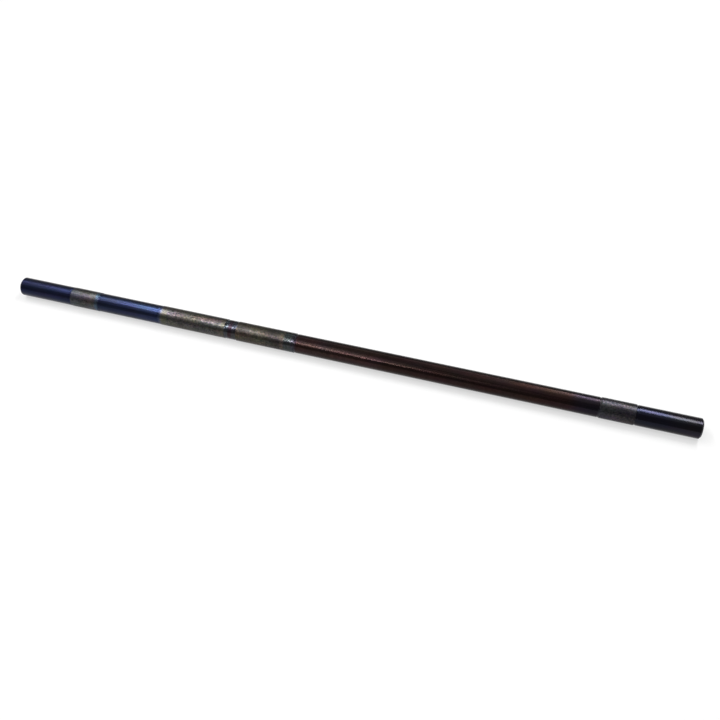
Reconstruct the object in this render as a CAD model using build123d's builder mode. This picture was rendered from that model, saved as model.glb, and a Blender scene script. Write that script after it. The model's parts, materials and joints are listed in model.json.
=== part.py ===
from build123d import *
import os
from math import radians, tan

# A straight drive shaft, turned from one round bar and ground on its four seats.
# It lies along X with its middle at the origin and +Z up, in millimetres.
# Places along the shaft are measured from its ends, as on a turner's drawing.

# The bar
length = 426.0
seat_diameter = 12.0
body_relief = 0.16  # the plain stretches are turned this much below the seats, on the radius
end_chamfer = 0.8

# The bearing seats, one near each end, each measured from its own end
left_bearing_seat_inset = 37.5
right_bearing_seat_inset = 35.5
bearing_seat_length = 19.0

# The gear seats, side by side, measured from the left end
gear_seat_inset = 100.2
wide_gear_seat_length = 44.2
gear_seat_gap = 7.6
narrow_gear_seat_length = 37.6

# The undercuts, one beside each edge of each seat, where the grinding wheel runs out
undercut_floor_width = 0.9
undercut_depth = 0.33  # below the seat, on the radius
undercut_corner_radius = 0.15  # at the foot of the seat's shoulder
undercut_run_out_angle = 30.0  # of the cone that leads from the floor up to the plain bar
seat_edge_break = 0.1

# The centre holes in the end faces, which held the bar while it was turned and ground
centre_mouth_diameter = 5.3
centre_pilot_diameter = 2.5
centre_pilot_length = 3.0
centre_cone_angle = 60.0
drill_point_angle = 118.0

# Worked out from the sizes above
seat_radius = seat_diameter / 2
body_radius = seat_radius - body_relief
left_end = -length / 2
right_end = length / 2
left_bearing_seat = left_end + left_bearing_seat_inset
right_bearing_seat = right_end - right_bearing_seat_inset - bearing_seat_length
wide_gear_seat = left_end + gear_seat_inset
narrow_gear_seat = wide_gear_seat + wide_gear_seat_length + gear_seat_gap

# Each seat's left edge and its length, from left to right
seats = (
    (left_bearing_seat, bearing_seat_length),
    (wide_gear_seat, wide_gear_seat_length),
    (narrow_gear_seat, narrow_gear_seat_length),
    (right_bearing_seat, bearing_seat_length),
)


def stretch_section(start, stretch, radius, edge):
    """The half section of a round stretch of the shaft, with both its edges chamfered."""
    end = start + stretch
    with BuildSketch(Plane.XZ) as section:
        with BuildLine():
            Polyline(
                (start, 0),
                (start, radius - edge),
                (start + edge, radius),
                (end - edge, radius),
                (end, radius - edge),
                (end, 0),
                close=True,
            )
        make_face()
    return section.sketch


def undercut_section(shoulder, outward):
    """The section of the undercut at a seat's shoulder; outward is +1 or -1, away from the seat."""
    floor_radius = seat_radius - undercut_depth
    floor_end = shoulder + outward * undercut_floor_width
    run_out = undercut_depth / tan(radians(undercut_run_out_angle))
    with BuildSketch(Plane.XZ) as section:
        with BuildLine():
            Polyline(
                (shoulder, seat_radius),
                (shoulder, floor_radius),
                (floor_end, floor_radius),
                (floor_end + outward * run_out, seat_radius),
                close=True,
            )
        make_face()
        foot = section.vertices().sort_by_distance((shoulder, floor_radius))[0]
        fillet(foot, undercut_corner_radius)
    return section.sketch


def centre_hole_section(face, inward):
    """The half section of a centre hole in the end face at face; inward is +1 or -1."""
    mouth_radius = centre_mouth_diameter / 2
    pilot_radius = centre_pilot_diameter / 2
    cone_depth = (mouth_radius - pilot_radius) / tan(radians(centre_cone_angle / 2))
    point_depth = pilot_radius / tan(radians(drill_point_angle / 2))
    cone_bottom = face + inward * cone_depth
    pilot_bottom = cone_bottom + inward * centre_pilot_length
    with BuildSketch(Plane.XZ) as section:
        with BuildLine():
            Polyline(
                (face, 0),
                (face, mouth_radius),
                (cone_bottom, pilot_radius),
                (pilot_bottom, pilot_radius),
                (pilot_bottom + inward * point_depth, 0),
                close=True,
            )
        make_face()
    return section.sketch


with BuildPart() as drive_shaft:
    # The bar, turned to the body's diameter
    revolve(stretch_section(left_end, length, body_radius, end_chamfer), axis=Axis.X)

    # The seats stand proud of it
    for start, stretch in seats:
        revolve(stretch_section(start, stretch, seat_radius, seat_edge_break), axis=Axis.X)

    # An undercut runs round the foot of each shoulder
    for start, stretch in seats:
        for shoulder, outward in ((start, -1), (start + stretch, 1)):
            revolve(undercut_section(shoulder, outward), axis=Axis.X, mode=Mode.SUBTRACT)

    # The centre holes
    for face, inward in ((left_end, 1), (right_end, -1)):
        revolve(centre_hole_section(face, inward), axis=Axis.X, mode=Mode.SUBTRACT)

drive_shaft.part.label = "drive_shaft"
os.makedirs("parts", exist_ok=True)
export_step(drive_shaft.part, "parts/drive_shaft.step")
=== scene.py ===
"""Dresses a straight, heat-coloured drive shaft that lies on a pale floor under soft strip lamps."""
import json
import logging
import math
from dataclasses import dataclass, field
from enum import Enum
from typing import Any

import bmesh
import bpy
from mathutils import Matrix, Vector


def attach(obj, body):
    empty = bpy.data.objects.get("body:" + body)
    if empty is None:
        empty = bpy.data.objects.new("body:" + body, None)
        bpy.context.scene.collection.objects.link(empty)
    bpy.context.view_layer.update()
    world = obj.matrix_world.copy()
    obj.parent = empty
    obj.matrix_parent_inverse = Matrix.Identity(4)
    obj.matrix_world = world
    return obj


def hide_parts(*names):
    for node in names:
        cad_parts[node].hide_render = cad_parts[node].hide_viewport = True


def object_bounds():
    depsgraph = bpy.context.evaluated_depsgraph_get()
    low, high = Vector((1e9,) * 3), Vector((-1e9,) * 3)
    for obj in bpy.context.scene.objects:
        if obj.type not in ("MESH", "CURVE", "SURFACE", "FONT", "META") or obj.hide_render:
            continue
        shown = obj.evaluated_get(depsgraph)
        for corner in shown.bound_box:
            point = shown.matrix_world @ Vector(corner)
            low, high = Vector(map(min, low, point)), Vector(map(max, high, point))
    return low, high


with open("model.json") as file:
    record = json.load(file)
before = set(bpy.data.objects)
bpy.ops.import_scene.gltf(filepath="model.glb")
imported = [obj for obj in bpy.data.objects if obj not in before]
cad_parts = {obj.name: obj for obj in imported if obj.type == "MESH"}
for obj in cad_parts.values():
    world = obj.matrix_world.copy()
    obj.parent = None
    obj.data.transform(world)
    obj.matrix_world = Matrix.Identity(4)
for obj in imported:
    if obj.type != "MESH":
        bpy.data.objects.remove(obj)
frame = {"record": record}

LOG = logging.getLogger("drive_shaft")
MM = 0.001
CAD_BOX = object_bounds()

# The sockets of a Mix node, which go by number because their names repeat
FLOAT_A, FLOAT_B = 2, 3
COLOUR_A, COLOUR_B, COLOUR_OUT = 6, 7, 2

# Multiplied by this, a place keeps only its distance from the shaft's axis
OFF_AXIS = (0.0, 1.0, 1.0)

Colour = tuple[float, float, float, float]
Point = tuple[float, float]
Source = bpy.types.Node | bpy.types.NodeSocket


class Change(Enum):
    """How far one finish runs into the next along the shaft, in millimetres."""

    EDGE = 0.3  # cut by a tool
    RING = 0.7  # the side of a heated ring
    SEAT = 1.6  # the edge of a hardened seat
    DRIFT = 8.0  # heat that ran along the bar


def linear(code: str) -> Colour:
    """Turns an sRGB hex colour into linear light, by the curve of the sRGB standard.

    Args:
        code: The colour as six hex digits after a hash.

    Returns:
        Red, green, blue and an alpha of one, in linear light.
    """
    values = [int(code[i:i + 2], 16) / 255 for i in (1, 3, 5)]
    red, green, blue = (v / 12.92 if v <= 0.04045 else ((v + 0.055) / 1.055) ** 2.4 for v in values)
    return (red, green, blue, 1.0)


def add_node(tree: bpy.types.NodeTree, kind: str, settings: dict[str, Any] | None = None,
             inputs: dict[Any, Any] | None = None) -> bpy.types.Node:
    """Adds a node, sets its properties, and links or sets its inputs.

    Args:
        tree: The node tree that gets the node.
        kind: The node's type name.
        settings: Properties of the node by name.
        inputs: For each input's name or number, a socket to link from, a node whose first output is
            linked, or a value.

    Returns:
        The new node.
    """
    node = tree.nodes.new(kind)
    for name, value in (settings or {}).items():
        setattr(node, name, value)
    for name, value in (inputs or {}).items():
        if isinstance(value, bpy.types.Node):
            value = value.outputs[0]
        if isinstance(value, bpy.types.NodeSocket):
            tree.links.new(value, node.inputs[name])
        else:
            node.inputs[name].default_value = value
    return node


def empty_material(name: str) -> bpy.types.Material:
    """Makes a material with no nodes in its tree.

    Args:
        name: The material's name.

    Returns:
        The material.
    """
    material = bpy.data.materials.new(name)
    material.use_nodes = True
    material.node_tree.nodes.clear()
    return material


def place_in_mm(tree: bpy.types.NodeTree) -> bpy.types.Node:
    """Adds the nodes that tell a material where on the object it is, in millimetres."""
    place = add_node(tree, "ShaderNodeTexCoord").outputs["Object"]
    return add_node(tree, "ShaderNodeVectorMath", {"operation": "SCALE"}, {0: place, "Scale": 1 / MM})


def end_as_metal(tree: bpy.types.NodeTree, colour: Source, roughness: Source, marks: Source,
                 strength: float, depth: float) -> None:
    """Ends a material's tree as bare metal with tool marks in it.

    Args:
        tree: The material's tree.
        colour: What the metal mirrors head-on.
        roughness: How far it scatters.
        marks: The height of the tool marks, from 0 to 1.
        strength: How much of their slope is drawn.
        depth: Their depth in millimetres.
    """
    bump = add_node(tree, "ShaderNodeBump", {}, {
        "Strength": strength, "Distance": depth * MM, "Height": marks})
    shader = add_node(tree, "ShaderNodeBsdfPrincipled", {}, {
        "Base Color": colour, "Metallic": 1.0, "Roughness": roughness, "Normal": bump})
    add_node(tree, "ShaderNodeOutputMaterial", {}, {"Surface": shader})


def mount(name: str) -> dict[str, Any]:
    """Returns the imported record's mount of that name."""
    return next(m for m in frame["record"]["mounts"] if m["name"] == name)


@dataclass(frozen=True)
class HeatFinish:
    """One stretch of the shaft's skin: what heat and the grinding wheel left on it.

    The colour is what the skin mirrors head-on. Roughness is how far it scatters. Mottle is how strongly
    patches of thinner and thicker oxide change it, and polish how much of it the grinding wheel left
    mirror-smooth, each from 0 to 1.
    """

    colour: str
    roughness: float
    mottle: float
    polish: float

    def nature(self) -> Colour:
        """Returns the roughness, mottle and polish as the channels of a colour."""
        return (self.roughness, self.mottle, self.polish, 1.0)


@dataclass(frozen=True)
class Stretch:
    """A finish and where it begins, in millimetres from the shaft's middle towards +X."""

    start: float
    change: Change
    finish: HeatFinish


# Steel heated to about 300 degrees grows an even blue film: deep, smooth and almost free of patches
BLUE_END = HeatFinish("#1E2137", 0.33, 0.2, 0.25)
# Lighter and more cyan than the band beside it: partly the film's own paler blue, partly painted highlight
# that lightens the stretch where the lamps' reflection on it is brightest
BLUE_WITH_PAINTED_HIGHLIGHT = HeatFinish("#21283F", 0.32, 0.2, 0.3)
BLUE_BAND = HeatFinish("#202439", 0.325, 0.2, 0.3)
# The film is thin beside a hardened seat, where it runs through pale blue and white to straw
PALE_BLUE = HeatFinish("#3D4856", 0.3, 0.5, 0.25)
PALE_VIOLET = HeatFinish("#31364B", 0.3, 0.2, 0.2)
PALE_WHITE = HeatFinish("#48484A", 0.295, 0.3, 0.25)
PALE_STRAW = HeatFinish("#46443D", 0.31, 0.5, 0.18)
# Steel hardened at full heat keeps a thin grey scale: paler, rougher and blotched
GREY_COLD = HeatFinish("#3F3E42", 0.38, 0.9, 0.08)
GREY_ROSE = HeatFinish("#3F3C3E", 0.38, 1.0, 0.08)
GREY_BRIGHT = HeatFinish("#434242", 0.345, 0.9, 0.12)
GREY_WARM = HeatFinish("#3F3D3B", 0.35, 1.0, 0.1)
GREY_DEEP = HeatFinish("#3E3B38", 0.355, 1.0, 0.1)
GREY_TAN = HeatFinish("#3F3A34", 0.355, 1.0, 0.1)
GREY_BROWN = HeatFinish("#322F2D", 0.355, 1.0, 0.1)
GREY_RIGHT = HeatFinish("#2E2D31", 0.37, 0.9, 0.08)
# The plain bar between the two gear seats took a darker film, palest at its left edge
GROOVE = HeatFinish("#3A3E43", 0.28, 0.3, 0.65)
PALE_LINE = HeatFinish("#35353A", 0.28, 0.3, 0.55)
NAVY = HeatFinish("#2E252B", 0.28, 0.3, 0.45)
# Oil burnt on at the right end of the narrow gear seat leaves a greenish tinge
OIL_GREEN = HeatFinish("#323635", 0.3, 0.7, 0.45)
# Further from the heat the film turns from brown over red-brown to purple and back to blue
BROWN = HeatFinish("#2D2120", 0.3, 0.35, 0.42)
RED_BROWN = HeatFinish("#261B1A", 0.3, 0.3, 0.4)
PURPLE = HeatFinish("#201B21", 0.28, 0.2, 0.4)
BLUE_BLACK = HeatFinish("#1D1E27", 0.25, 0.1, 0.35)
PLUM_BLACK = HeatFinish("#232127", 0.25, 0.1, 0.3)

# What each stretch of the shaft wears, from left to right, as the photograph shows it; the first
# begins beyond the left end
STRETCHES = (
    Stretch(-300.0, Change.EDGE, BLUE_END),
    Stretch(-175.7, Change.SEAT, GREY_COLD),
    Stretch(-170.0, Change.DRIFT, GREY_ROSE),
    Stretch(-162.5, Change.SEAT, GREY_BRIGHT),
    Stretch(-158.2, Change.SEAT, PALE_BLUE),
    Stretch(-156.2, Change.RING, BLUE_BAND),
    # The right part of the blue band is lightened: painted highlight where the lamps' reflection is
    # brightest, over the film's own blue
    Stretch(-127.0, Change.DRIFT, BLUE_WITH_PAINTED_HIGHLIGHT),
    Stretch(-113.6, Change.RING, PALE_VIOLET),
    Stretch(-112.1, Change.RING, PALE_WHITE),
    Stretch(-111.0, Change.RING, PALE_STRAW),
    Stretch(-107.8, Change.SEAT, GREY_WARM),
    Stretch(-98.0, Change.DRIFT, GREY_DEEP),
    Stretch(-86.0, Change.DRIFT, GREY_WARM),
    Stretch(-71.2, Change.RING, PALE_STRAW),
    Stretch(-68.6, Change.EDGE, GROOVE),
    Stretch(-66.2, Change.RING, NAVY),
    Stretch(-63.7, Change.RING, PALE_LINE),
    Stretch(-61.0, Change.EDGE, GREY_TAN),
    Stretch(-41.0, Change.DRIFT, GREY_BROWN),
    Stretch(-32.2, Change.SEAT, GREY_TAN),
    Stretch(-29.6, Change.SEAT, OIL_GREEN),
    Stretch(-24.9, Change.RING, PALE_LINE),
    Stretch(-22.8, Change.EDGE, NAVY),
    Stretch(-21.8, Change.RING, BROWN),
    Stretch(30.0, Change.DRIFT, RED_BROWN),
    Stretch(143.2, Change.DRIFT, PURPLE),
    Stretch(157.8, Change.SEAT, GREY_RIGHT),
    Stretch(177.4, Change.RING, BLUE_BLACK),
    Stretch(196.0, Change.DRIFT, PLUM_BLACK),
)


@dataclass
class TurnedProfile:
    """The shaft's half section, in millimetres, with every place measured from the middle.

    The seats come from the record's mounts. What the mounts don't say is repeated here from the drawing.
    """

    end_chamfer: float = 0.8
    seat_edge_break: float = 0.1
    undercut_floor_width: float = 0.9
    undercut_depth: float = 0.33
    undercut_corner_radius: float = 0.15
    undercut_run_out_angle: float = 30.0
    centre_mouth_diameter: float = 5.3
    centre_pilot_diameter: float = 2.5
    centre_pilot_length: float = 3.0
    centre_cone_angle: float = 60.0
    drill_point_angle: float = 118.0
    corner_steps: int = 5
    seat_names: tuple[str, ...] = (
        "left_bearing_seat", "wide_gear_seat", "narrow_gear_seat", "right_bearing_seat")

    def half_length(self) -> float:
        """Returns half the shaft's length, from the CAD box."""
        return (CAD_BOX[1][0] - CAD_BOX[0][0]) / 2 / MM

    def body_radius(self) -> float:
        """Returns the radius of the plain bar between the seats."""
        return mount("left_end")["dims"]["r_mm"]

    def seats(self) -> list[tuple[float, float, float]]:
        """Reads the seats' places and sizes from the record's mounts.

        Returns:
            Each seat's left edge, right edge and radius, from left to right.
        """
        found = []
        for name in self.seat_names:
            seat = mount(name)
            reach = seat["dims"]["length_mm"] / 2 + self.seat_edge_break
            middle = seat["pos_m"][0] / MM
            found.append((middle - reach, middle + reach, seat["dims"]["r_mm"]))
        return found

    def shoulder(self, edge: float, radius: float, outward: int) -> list[Point]:
        """Draws one side of a seat: its broken edge, the undercut at its foot and the run-out.

        Args:
            edge: The place of the seat's shoulder.
            radius: The seat's radius.
            outward: 1 or -1, the direction away from the seat.

        Returns:
            Points from the seat outwards, each a place and a radius.
        """
        floor = radius - self.undercut_depth
        corner = self.undercut_corner_radius
        points = [(edge - outward * self.seat_edge_break, radius), (edge, radius - self.seat_edge_break)]
        for i in range(self.corner_steps + 1):
            turn = math.pi / 2 * i / self.corner_steps
            along, up = corner * (1 - math.cos(turn)), corner * (1 - math.sin(turn))
            points.append((edge + outward * along, floor + up))
        floor_end = edge + outward * self.undercut_floor_width
        rise = self.body_radius() - floor
        run = rise / math.tan(math.radians(self.undercut_run_out_angle))
        return points + [(floor_end, floor), (floor_end + outward * run, self.body_radius())]

    def end(self, side: int) -> list[Point]:
        """Draws one end from its centre hole out to the bar.

        Args:
            side: 1 for the right end, -1 for the left.

        Returns:
            Points from the axis outwards, each a place and a radius.
        """
        face = side * self.half_length()
        mouth = self.centre_mouth_diameter / 2
        pilot = self.centre_pilot_diameter / 2
        cone_bottom = face - side * (mouth - pilot) / math.tan(math.radians(self.centre_cone_angle / 2))
        pilot_bottom = cone_bottom - side * self.centre_pilot_length
        point = pilot_bottom - side * pilot / math.tan(math.radians(self.drill_point_angle / 2))
        body = self.body_radius()
        return [
            (point, 0.0), (pilot_bottom, pilot), (cone_bottom, pilot), (face, mouth),
            (face, body - self.end_chamfer), (face - side * self.end_chamfer, body),
        ]

    def points(self) -> list[Point]:
        """Draws the whole half section, from one end to the other.

        Returns:
            Points from the left drill point to the right one, each a place and a radius.
        """
        line = self.end(-1)
        for left, right, radius in self.seats():
            line += list(reversed(self.shoulder(left, radius, -1)))
            line += self.shoulder(right, radius, 1)
        return line + list(reversed(self.end(1)))


@dataclass
class DriveShaft:
    """The shaft itself: a turned mesh in its heat colours."""

    profile: TurnedProfile = field(default_factory=TurnedProfile)
    name: str = "turned_shaft"
    facets_round: int = 144
    merge_distance: float = 0.001  # in millimetres, as are the next two
    hole_reach: float = 8.0  # no centre hole goes deeper than this from its end face
    hole_radius: float = 3.0  # nor is any wider
    least_lean: float = 0.8  # how far towards X a facet faces to count as a turned face
    sharp_angle: float = 22.0  # in degrees, the least angle between facets that shows as an edge

    def skin(self, tree: bpy.types.NodeTree, given: Any) -> bpy.types.Node:
        """Bends a grid round X so that each of its rows becomes one station of the half section.

        Args:
            tree: The lathe's tree.
            given: The outputs of the tree's input node.

        Returns:
            The node that gives the turned mesh, still open along its seam.
        """
        count = add_node(tree, "GeometryNodeAttributeDomainSize", {}, {"Geometry": given["Section"]})
        rows = add_node(tree, "ShaderNodeMath", {"operation": "ADD"}, {0: given["Facets round"], 1: 1.0})
        grid = add_node(tree, "GeometryNodeMeshGrid", {}, {
            "Vertices X": count.outputs["Point Count"], "Vertices Y": rows})
        index = add_node(tree, "GeometryNodeInputIndex")
        share = add_node(tree, "ShaderNodeMath", {"operation": "DIVIDE"}, {0: index, 1: rows})
        station = add_node(tree, "ShaderNodeMath", {"operation": "FLOOR"}, {0: share})
        step = add_node(tree, "ShaderNodeMath", {"operation": "MODULO"}, {0: index, 1: rows})
        place = add_node(tree, "GeometryNodeInputPosition")
        taken = add_node(tree, "GeometryNodeSampleIndex", {"data_type": "FLOAT_VECTOR"}, {
            "Geometry": given["Section"], "Value": place, "Index": station})
        part = add_node(tree, "ShaderNodeSeparateXYZ", {}, {0: taken}).outputs
        full = add_node(tree, "ShaderNodeMath", {"operation": "MULTIPLY"}, {0: step, 1: math.tau})
        turn = add_node(tree, "ShaderNodeMath", {"operation": "DIVIDE"}, {0: full, 1: given["Facets round"]})
        across = []
        for operation in ("COSINE", "SINE"):
            wave = add_node(tree, "ShaderNodeMath", {"operation": operation}, {0: turn})
            across.append(add_node(tree, "ShaderNodeMath", {"operation": "MULTIPLY"}, {
                0: part["Y"], 1: wave}))
        spot = add_node(tree, "ShaderNodeCombineXYZ", {}, {"X": part["X"], "Y": across[0], "Z": across[1]})
        return add_node(tree, "GeometryNodeSetPosition", {}, {"Geometry": grid, "Position": spot})

    def faced(self, tree: bpy.types.NodeTree, given: Any) -> bpy.types.Node:
        """Picks the end faces and the centre holes.

        Args:
            tree: The lathe's tree.
            given: The outputs of the tree's input node.

        Returns:
            The node that gives 1 on them and 0 elsewhere.
        """
        place = add_node(tree, "GeometryNodeInputPosition")
        along = add_node(tree, "ShaderNodeSeparateXYZ", {}, {0: place})
        reach = add_node(tree, "ShaderNodeMath", {"operation": "ABSOLUTE"}, {0: along})
        beyond = add_node(tree, "ShaderNodeMath", {"operation": "GREATER_THAN"}, {
            0: reach, 1: given["Holes from"]})
        normal = add_node(tree, "GeometryNodeInputNormal")
        tilt = add_node(tree, "ShaderNodeSeparateXYZ", {}, {0: normal})
        lean = add_node(tree, "ShaderNodeMath", {"operation": "ABSOLUTE"}, {0: tilt})
        flat = add_node(tree, "ShaderNodeMath", {"operation": "GREATER_THAN"}, {
            0: lean, 1: given["Least lean"]})
        radial = add_node(tree, "ShaderNodeVectorMath", {"operation": "MULTIPLY"}, {0: place, 1: OFF_AXIS})
        away = add_node(tree, "ShaderNodeVectorMath", {"operation": "LENGTH"}, {0: radial})
        inside = add_node(tree, "ShaderNodeMath", {"operation": "LESS_THAN"}, {
            0: away.outputs["Value"], 1: given["Hole radius"]})
        either = add_node(tree, "ShaderNodeMath", {"operation": "MAXIMUM"}, {0: flat, 1: inside})
        return add_node(tree, "ShaderNodeMath", {"operation": "MULTIPLY"}, {0: either, 1: beyond})

    def lathe(self) -> bpy.types.NodeTree:
        """Makes the tree that turns a half section round X, closes it and gives it its materials.

        Returns:
            The tree, with named inputs for its sizes and both materials.
        """
        tree = bpy.data.node_groups.new("lathe", "GeometryNodeTree")
        for name, kind in (
            ("Section", "Geometry"), ("Facets round", "Int"), ("Merge distance", "Float"),
            ("Holes from", "Float"), ("Hole radius", "Float"), ("Least lean", "Float"),
            ("Side finish", "Material"), ("Face finish", "Material"),
        ):
            tree.interface.new_socket(name, in_out="INPUT", socket_type=f"NodeSocket{kind}")
        tree.interface.new_socket("Shaft", in_out="OUTPUT", socket_type="NodeSocketGeometry")
        given = add_node(tree, "NodeGroupInput").outputs
        closed = add_node(tree, "GeometryNodeMergeByDistance", {}, {
            "Geometry": self.skin(tree, given), "Distance": given["Merge distance"]})
        smooth = add_node(tree, "GeometryNodeSetShadeSmooth", {}, {"Geometry": closed})
        real = add_node(tree, "GeometryNodeRealizeInstances", {}, {"Geometry": smooth})
        sides = add_node(tree, "GeometryNodeSetMaterial", {}, {
            "Geometry": real, "Material": given["Side finish"]})
        ends = add_node(tree, "GeometryNodeSetMaterial", {}, {
            "Geometry": sides, "Selection": self.faced(tree, given), "Material": given["Face finish"]})
        add_node(tree, "NodeGroupOutput", {}, {0: ends})
        return tree

    def turned_mesh(self, side_finish: bpy.types.Material,
                    face_finish: bpy.types.Material) -> bpy.types.Mesh:
        """Puts the half section through the lathe.

        Args:
            side_finish: The material of everything but the end faces and centre holes.
            face_finish: The material of the end faces and centre holes.

        Returns:
            The turned surface as a plain mesh.
        """
        line = [(x * MM, r * MM, 0.0) for x, r in self.profile.points()]
        section = bpy.data.meshes.new("half_section")
        section.from_pydata(line, [(i, i + 1) for i in range(len(line) - 1)], [])
        blank = bpy.data.objects.new("half_section", section)
        bpy.context.scene.collection.objects.link(blank)
        values = {
            "Facets round": self.facets_round,
            "Merge distance": self.merge_distance * MM,
            "Holes from": (self.profile.half_length() - self.hole_reach) * MM,
            "Hole radius": self.hole_radius * MM,
            "Least lean": self.least_lean,
            "Side finish": side_finish,
            "Face finish": face_finish,
        }
        modifier = blank.modifiers.new("lathe", "NODES")
        modifier.node_group = self.lathe()
        for item in modifier.node_group.interface.items_tree:
            if item.in_out == "INPUT" and item.name in values:
                modifier[item.identifier] = values[item.name]
        bpy.context.view_layer.update()
        seen = blank.evaluated_get(bpy.context.evaluated_depsgraph_get())
        mesh = bpy.data.meshes.new_from_object(seen)
        bpy.data.objects.remove(blank)
        return mesh

    def face_outwards(self, mesh: bpy.types.Mesh) -> None:
        """Turns a mesh's facets outwards, if they face inwards, and reports its volume.

        Args:
            mesh: The closed mesh.
        """
        work = bmesh.new()
        work.from_mesh(mesh)
        if work.calc_volume(signed=True) < 0:
            bmesh.ops.reverse_faces(work, faces=work.faces)
        work.to_mesh(mesh)
        open_edges = sum(edge.is_boundary for edge in work.edges)
        LOG.info("volume %.0f mm3, open edges %d", work.calc_volume() / MM ** 3, open_edges)
        work.free()

    def build(self, side_finish: bpy.types.Material, face_finish: bpy.types.Material) -> bpy.types.Object:
        """Turns the shaft and hands it back as a plain mesh.

        Args:
            side_finish: The material of everything but the end faces and centre holes.
            face_finish: The material of the end faces and centre holes.

        Returns:
            The finished piece, at the origin.
        """
        mesh = self.turned_mesh(side_finish, face_finish)
        self.face_outwards(mesh)
        mesh.set_sharp_from_angle(angle=math.radians(self.sharp_angle))
        mesh.name = self.name
        piece = bpy.data.objects.new(self.name, mesh)
        bpy.context.scene.collection.objects.link(piece)
        return piece


@dataclass(frozen=True)
class Grain:
    """A soft random pattern of a real size, which may be longer along the shaft or round it.

    Its sizes are in millimetres. Detail is how many finer layers it has, and roughness how strong they are.
    """

    length: float  # along the shaft
    width: float  # round it
    detail: float = 1.0
    roughness: float = 0.5
    least: float = 1.0  # what the pattern's dark spots multiply a colour by
    most: float = 1.0  # what its bright ones do
    usual_low: float = 0.3  # nearly all of a noise's values lie between these two
    usual_high: float = 0.7

    def draw(self, tree: bpy.types.NodeTree, spot: Source) -> bpy.types.Node:
        """Draws the pattern.

        Args:
            tree: The material's tree.
            spot: The place on the object, in millimetres.

        Returns:
            The noise node: its value is the first output and its three random channels are the second.
        """
        scaled = add_node(tree, "ShaderNodeVectorMath", {"operation": "MULTIPLY"}, {
            0: spot, 1: (1 / self.length, 1 / self.width, 1 / self.width)})
        return add_node(tree, "ShaderNodeTexNoise", {}, {
            "Vector": scaled, "Scale": 1.0, "Detail": self.detail, "Roughness": self.roughness})

    def level(self, tree: bpy.types.NodeTree, noise: Source) -> bpy.types.Node:
        """Spreads the pattern's usual values from least to most.

        Args:
            tree: The material's tree.
            noise: The pattern, as draw gives it.

        Returns:
            The node that gives the factor.
        """
        return add_node(tree, "ShaderNodeMapRange", {}, {
            "Value": noise, "From Min": self.usual_low, "From Max": self.usual_high,
            "To Min": self.least, "To Max": self.most})


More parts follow.
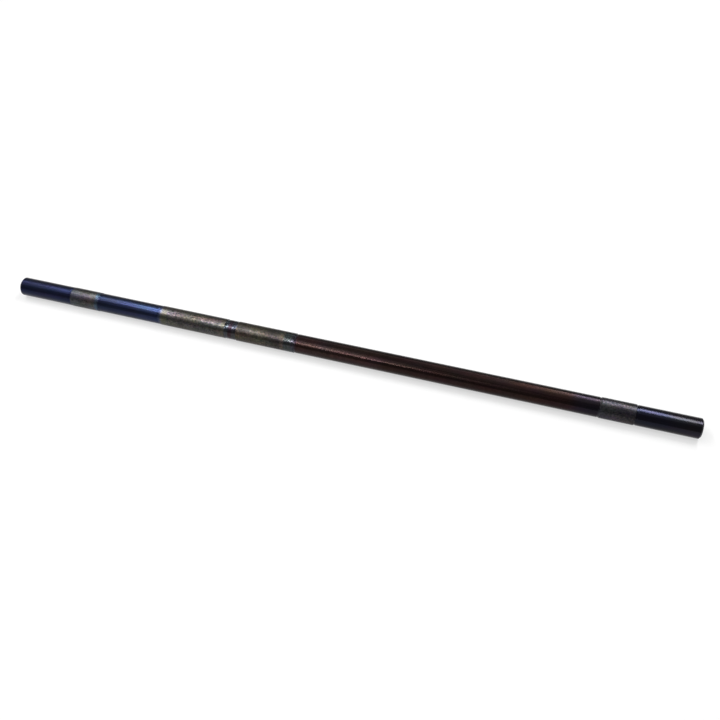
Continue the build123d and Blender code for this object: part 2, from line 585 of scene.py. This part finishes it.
@dataclass
class HeatColours:
    """Heat-coloured, cylindrically ground carbon steel.

    It gives the eye a dark satin mirror, with an even blue or brown oxide film on the plain stretches and a
    rougher grey, softly blotched scale on the hardened seats.
    """

    # Patches of thicker and thinner scale, with finer specks in them
    patches: Grain = Grain(4.5, 4.5, detail=2.0, roughness=0.55, least=0.75, most=1.25)
    specks: Grain = Grain(1.0, 1.0, detail=2.0, roughness=0.6, least=0.5, most=1.6)
    # Some specks are rosy, some green and some blue: each channel is tint_least, plus up to tint_span
    tint_least: tuple[float, float, float] = (0.64, 0.69, 0.6)
    tint_span: tuple[float, float, float] = (0.7, 0.6, 0.8)
    edge_wander: float = 0.3  # how far, in millimetres, the specks push the edge of a finish to either side
    # The film's thickness, and with it its hue, drifts in long patches
    drift: Grain = Grain(14.0, 4.0)
    drift_least: tuple[float, float, float] = (0.7, 0.825, 0.7)
    drift_span: tuple[float, float, float] = (0.6, 0.35, 0.6)
    # Lengthwise streaks where the film is a little thinner or thicker
    streaks: Grain = Grain(60.0, 0.9, least=0.9, most=1.1)
    # Rings left by the grinding wheel, drawn coarser than real so that they show
    rings: Grain = Grain(0.35, 20.0, detail=2.0)
    ring_depth: float = 0.003  # in millimetres
    ring_strength: float = 0.1
    # Fine lengthwise lines, drawn coarser than real, where the plain bar is nearly a mirror
    polish_lines: Grain = Grain(60.0, 0.25)
    polished_roughness: float = 0.15
    no_polish: float = 0.7  # the pattern's value above which a skin with no polish would be a mirror
    all_polish: float = 0.3  # and the same for one that is all polish
    polish_starts: float = -0.08  # counted from that value, where the mirror begins to show
    polish_full: float = 0.1  # and where it is whole

    def chain(self, tree: bpy.types.NodeTree, place: Source) -> tuple[Any, Any]:
        """Lets each finish give way to the next along the shaft.

        Args:
            tree: The material's tree.
            place: The distance from the shaft's middle, in millimetres.

        Returns:
            The sockets of the colour, and of the roughness, mottle and polish as the channels of another.
        """
        colour: Any = linear(STRETCHES[0].finish.colour)
        nature: Any = STRETCHES[0].finish.nature()
        for stretch in STRETCHES[1:]:
            half = stretch.change.value / 2
            begun = add_node(tree, "ShaderNodeMapRange", {"interpolation_type": "SMOOTHSTEP"}, {
                "Value": place, "From Min": stretch.start - half, "From Max": stretch.start + half})
            colour = add_node(tree, "ShaderNodeMix", {"data_type": "RGBA"}, {
                0: begun, COLOUR_A: colour, COLOUR_B: linear(stretch.finish.colour)}).outputs[COLOUR_OUT]
            nature = add_node(tree, "ShaderNodeMix", {"data_type": "RGBA"}, {
                0: begun, COLOUR_A: nature, COLOUR_B: stretch.finish.nature()}).outputs[COLOUR_OUT]
        return colour, nature

    def film(self, tree: bpy.types.NodeTree, spot: Source, specks: bpy.types.Node, colour: Source,
             mottle: Source) -> bpy.types.Node:
        """Blotches, tints and streaks the even colour of the oxide.

        Args:
            tree: The material's tree.
            spot: The place on the object, in millimetres.
            specks: The pattern of the specks.
            colour: The even colour.
            mottle: How strongly blotches and tints change it.

        Returns:
            The node that gives the finished colour.
        """
        patch = self.patches.level(tree, self.patches.draw(tree, spot))
        both = add_node(tree, "ShaderNodeMath", {"operation": "MULTIPLY"}, {
            0: patch, 1: self.specks.level(tree, specks)})
        blotch = add_node(tree, "ShaderNodeMix", {"data_type": "FLOAT"}, {
            0: mottle, FLOAT_A: 1.0, FLOAT_B: both})
        tint = add_node(tree, "ShaderNodeVectorMath", {"operation": "MULTIPLY_ADD"}, {
            0: specks.outputs["Color"], 1: self.tint_span, 2: self.tint_least})
        tinted = add_node(tree, "ShaderNodeMix", {"data_type": "RGBA", "blend_type": "MULTIPLY"}, {
            0: mottle, COLOUR_A: colour, COLOUR_B: tint}).outputs[COLOUR_OUT]
        cast = add_node(tree, "ShaderNodeVectorMath", {"operation": "MULTIPLY_ADD"}, {
            0: self.drift.draw(tree, spot).outputs["Color"], 1: self.drift_span, 2: self.drift_least})
        drifted = add_node(tree, "ShaderNodeVectorMath", {"operation": "MULTIPLY"}, {0: tinted, 1: cast})
        streak = self.streaks.level(tree, self.streaks.draw(tree, spot))
        amount = add_node(tree, "ShaderNodeMath", {"operation": "MULTIPLY"}, {0: blotch, 1: streak})
        return add_node(tree, "ShaderNodeVectorMath", {"operation": "SCALE"}, {0: drifted, "Scale": amount})

    def polished(self, tree: bpy.types.NodeTree, spot: Source, specks: Source, mottle: Source,
                 polish: Source) -> bpy.types.Node:
        """Picks the part of the skin that is nearly a mirror: lines on the plain bar, specks on the seats.

        It draws a thin bright line into the broad glow of the rest.

        Args:
            tree: The material's tree.
            spot: The place on the object, in millimetres.
            specks: The pattern of the specks.
            mottle: How far the specks take the lines' place.
            polish: How much of the skin is polished.

        Returns:
            The node that gives 1 on it and 0 elsewhere.
        """
        lines = self.polish_lines.draw(tree, spot)
        grain = add_node(tree, "ShaderNodeMix", {"data_type": "FLOAT"}, {
            0: mottle, FLOAT_A: lines, FLOAT_B: specks})
        edge = add_node(tree, "ShaderNodeMapRange", {}, {
            "Value": polish, "To Min": self.no_polish, "To Max": self.all_polish})
        past = add_node(tree, "ShaderNodeMath", {"operation": "SUBTRACT"}, {0: grain, 1: edge})
        return add_node(tree, "ShaderNodeMapRange", {}, {
            "Value": past, "From Min": self.polish_starts, "From Max": self.polish_full})

    def build(self) -> bpy.types.Material:
        """Makes the skin of everything but the end faces and centre holes.

        Returns:
            The material.
        """
        material = empty_material("heat_coloured_ground_steel")
        tree = material.node_tree
        spot = place_in_mm(tree)
        specks = self.specks.draw(tree, spot)
        along = add_node(tree, "ShaderNodeSeparateXYZ", {}, {0: spot})
        aside = add_node(tree, "ShaderNodeMapRange", {}, {
            "Value": specks, "To Min": -self.edge_wander, "To Max": self.edge_wander})
        place = add_node(tree, "ShaderNodeMath", {"operation": "ADD"}, {0: along, 1: aside})
        colour, nature = self.chain(tree, place)
        rough, mottle, polish = add_node(tree, "ShaderNodeSeparateColor", {}, {0: nature}).outputs
        shade = self.film(tree, spot, specks, colour, mottle)
        roughness = add_node(tree, "ShaderNodeMix", {"data_type": "FLOAT"}, {
            0: self.polished(tree, spot, specks, mottle, polish),
            FLOAT_A: rough, FLOAT_B: self.polished_roughness})
        rings = self.rings.draw(tree, spot)
        end_as_metal(tree, shade, roughness, rings, self.ring_strength, self.ring_depth)
        return material


@dataclass
class FacedSteel:
    """Faced carbon steel: the end faces cut on the lathe, with their drilled centres.

    It gives the eye fine circles round the middle, paler than the bar's sides.
    """

    dark: str = "#2C2B33"
    pale: str = "#4A4744"
    patches: Grain = Grain(2.0, 2.0, detail=3.0)
    circle_pitch: float = 0.3  # in millimetres, drawn coarser than real so that the circles show
    circle_detail: float = 2.0
    circle_depth: float = 0.02  # in millimetres
    circle_strength: float = 0.4
    smoothest: float = 0.4
    roughest: float = 0.6

    def build(self) -> bpy.types.Material:
        """Makes the skin of the end faces and centre holes.

        Returns:
            The material.
        """
        material = empty_material("faced_steel")
        tree = material.node_tree
        spot = place_in_mm(tree)
        radial = add_node(tree, "ShaderNodeVectorMath", {"operation": "MULTIPLY"}, {0: spot, 1: OFF_AXIS})
        away = add_node(tree, "ShaderNodeVectorMath", {"operation": "LENGTH"}, {0: radial})
        circles = add_node(tree, "ShaderNodeTexNoise", {"noise_dimensions": "1D"}, {
            "W": away.outputs["Value"], "Scale": 1 / self.circle_pitch, "Detail": self.circle_detail})
        colour = add_node(tree, "ShaderNodeMix", {"data_type": "RGBA"}, {
            0: self.patches.draw(tree, spot), COLOUR_A: linear(self.dark), COLOUR_B: linear(self.pale),
        }).outputs[COLOUR_OUT]
        roughness = add_node(tree, "ShaderNodeMapRange", {}, {
            "Value": circles, "To Min": self.smoothest, "To Max": self.roughest})
        end_as_metal(tree, colour, roughness, circles, self.circle_strength, self.circle_depth)
        return material


@dataclass(frozen=True)
class StripLamp:
    """A long soft lamp, hung level over the shaft and turned to its middle.

    Its ends are places on the floor's plan, in metres from the shaft's middle, and its power is in watts.
    """

    name: str
    start: Point
    end: Point
    width: float
    power: float

    def hang(self, height: float) -> None:
        """Hangs the lamp over the shaft.

        Args:
            height: How far above the shaft's axis it hangs, in metres.
        """
        lamp = bpy.data.lights.new(self.name, "AREA")
        lamp.shape = "RECTANGLE"
        lamp.energy = self.power
        start, end = Vector((*self.start, height)), Vector((*self.end, height))
        lamp.size = (end - start).length
        lamp.size_y = self.width
        middle = (start + end) / 2
        along = (end - start).normalized()
        back = (middle - along * middle.dot(along)).normalized()
        turned = Matrix((along, back.cross(along), back)).transposed().to_4x4()
        turned.translation = middle
        holder = bpy.data.objects.new(self.name, lamp)
        bpy.context.scene.collection.objects.link(holder)
        holder.matrix_world = turned


# Seen from the camera, each lamp is mirrored in its own stretch of the shaft
LAMPS = (
    # The left end
    StripLamp("far_left_lamp", (-0.88, 0.24), (-0.67, 0.08), 0.12, 1.2),
    # The bright blue stretch and the pale ring beside the wide gear seat
    StripLamp("left_window", (-0.7, 0.52), (-0.6, -0.02), 0.08, 4.2),
    # The wide gear seat
    StripLamp("left_lamp", (-0.615, -0.1), (-0.475, -0.43), 0.14, 4.8),
    # The narrow gear seat and the thin line on the brown stretch
    StripLamp("near_lamp", (-0.455, -0.52), (-0.325, -0.89), 0.07, 2.8),
    StripLamp("front_lamp", (-0.31, -0.98), (-0.235, -1.26), 0.05, 2.6),
    # The purple stretch and the edge of the right bearing seat
    StripLamp("far_right_lamp", (0.2, 1.2), (0.3, 0.65), 0.09, 2.8),
    # The right bearing seat and the right end
    StripLamp("right_lamp", (0.29, 0.7), (0.45, 0.12), 0.12, 8.6),
    # Wide and weak, over the whole shaft and along its far side
    StripLamp("top_lamp", (-0.05, 1.25), (0.25, -0.48), 0.4, 1.5),
    StripLamp("back_lamp", (-1.0, 0.9), (0.05, 1.05), 0.4, 1.2),
)


@dataclass
class Studio:
    """A white floor, a pale room and strip lamps, seen by a camera that looks down on the shaft.

    Sizes are in metres and angles in degrees.
    """

    floor_size: float = 20.0
    floor_shade: float = 0.65
    floor_lift: float = 0.56  # how much of the floor, where it is seen or mirrored, is plain white
    room_level: float = 0.3
    lamp_height: float = 1.0
    camera_place: tuple[float, float, float] = (0.11647, -0.32702, 0.33230)
    camera_down: float = 44.439
    camera_turn: float = 16.847
    camera_lens: float = 39.798  # in millimetres
    camera_nearest: float = 0.01

    def white_paper(self) -> bpy.types.Material:
        """Makes matt white paper, which gives the eye a plain white ground that keeps the shaft's shadow.

        Returns:
            The material.
        """
        material = empty_material("white_paper")
        tree = material.node_tree
        rays = add_node(tree, "ShaderNodeLightPath").outputs
        seen: Any = rays["Is Camera Ray"]
        for ray in ("Is Glossy Ray", "Is Transmission Ray"):
            seen = add_node(tree, "ShaderNodeMath", {"operation": "MAXIMUM"}, {0: seen, 1: rays[ray]})
        lift = add_node(tree, "ShaderNodeMath", {"operation": "MULTIPLY"}, {0: seen, 1: self.floor_lift})
        paper = add_node(tree, "ShaderNodeBsdfDiffuse", {}, {"Color": (*[self.floor_shade] * 3, 1.0)})
        glow = add_node(tree, "ShaderNodeEmission", {}, {"Strength": 1.0})
        mix = add_node(tree, "ShaderNodeMixShader", {}, {0: lift, 1: paper, 2: glow})
        add_node(tree, "ShaderNodeOutputMaterial", {}, {"Surface": mix})
        return material

    def floor(self) -> None:
        """Lays the floor where the seats touch it."""
        half, z = self.floor_size / 2, -mount("left_bearing_seat")["dims"]["r_mm"] * MM
        corners = [(-half, -half, z), (half, -half, z), (half, half, z), (-half, half, z)]
        mesh = bpy.data.meshes.new("floor")
        mesh.from_pydata(corners, [], [(0, 1, 2, 3)])
        mesh.materials.append(self.white_paper())
        floor = bpy.data.objects.new("floor", mesh)
        bpy.context.scene.collection.objects.link(floor)

    def room(self) -> None:
        """Fills the room with even, plain light."""
        world = bpy.data.worlds.new("room")
        world.use_nodes = True
        bpy.context.scene.world = world
        tree = world.node_tree
        tree.nodes.clear()
        light = add_node(tree, "ShaderNodeBackground", {}, {
            "Color": (1.0, 1.0, 1.0, 1.0), "Strength": self.room_level})
        add_node(tree, "ShaderNodeOutputWorld", {}, {"Surface": light})

    def camera(self) -> None:
        """Sets the camera at the photograph's place and angle."""
        data = bpy.data.cameras.new("camera")
        data.lens = self.camera_lens
        data.clip_start = self.camera_nearest
        camera = bpy.data.objects.new("camera", data)
        camera.location = self.camera_place
        camera.rotation_euler = (math.radians(90 - self.camera_down), 0.0, math.radians(self.camera_turn))
        bpy.context.scene.collection.objects.link(camera)
        bpy.context.scene.camera = camera

    def build(self) -> None:
        """Sets up everything round the shaft."""
        self.floor()
        self.room()
        for lamp in LAMPS:
            lamp.hang(self.lamp_height)
        self.camera()
        bpy.context.scene.view_settings.view_transform = "Standard"


def main() -> None:
    """Builds the shaft and the studio, in order."""
    logging.basicConfig(level=logging.INFO, format="%(name)s: %(message)s")
    piece = DriveShaft().build(HeatColours().build(), FacedSteel().build())
    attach(piece, "root")
    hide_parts("drive_shaft")
    LOG.info("%s: %d faces", piece.name, len(piece.data.polygons))
    Studio().build()


if __name__ == "__main__":
    main()
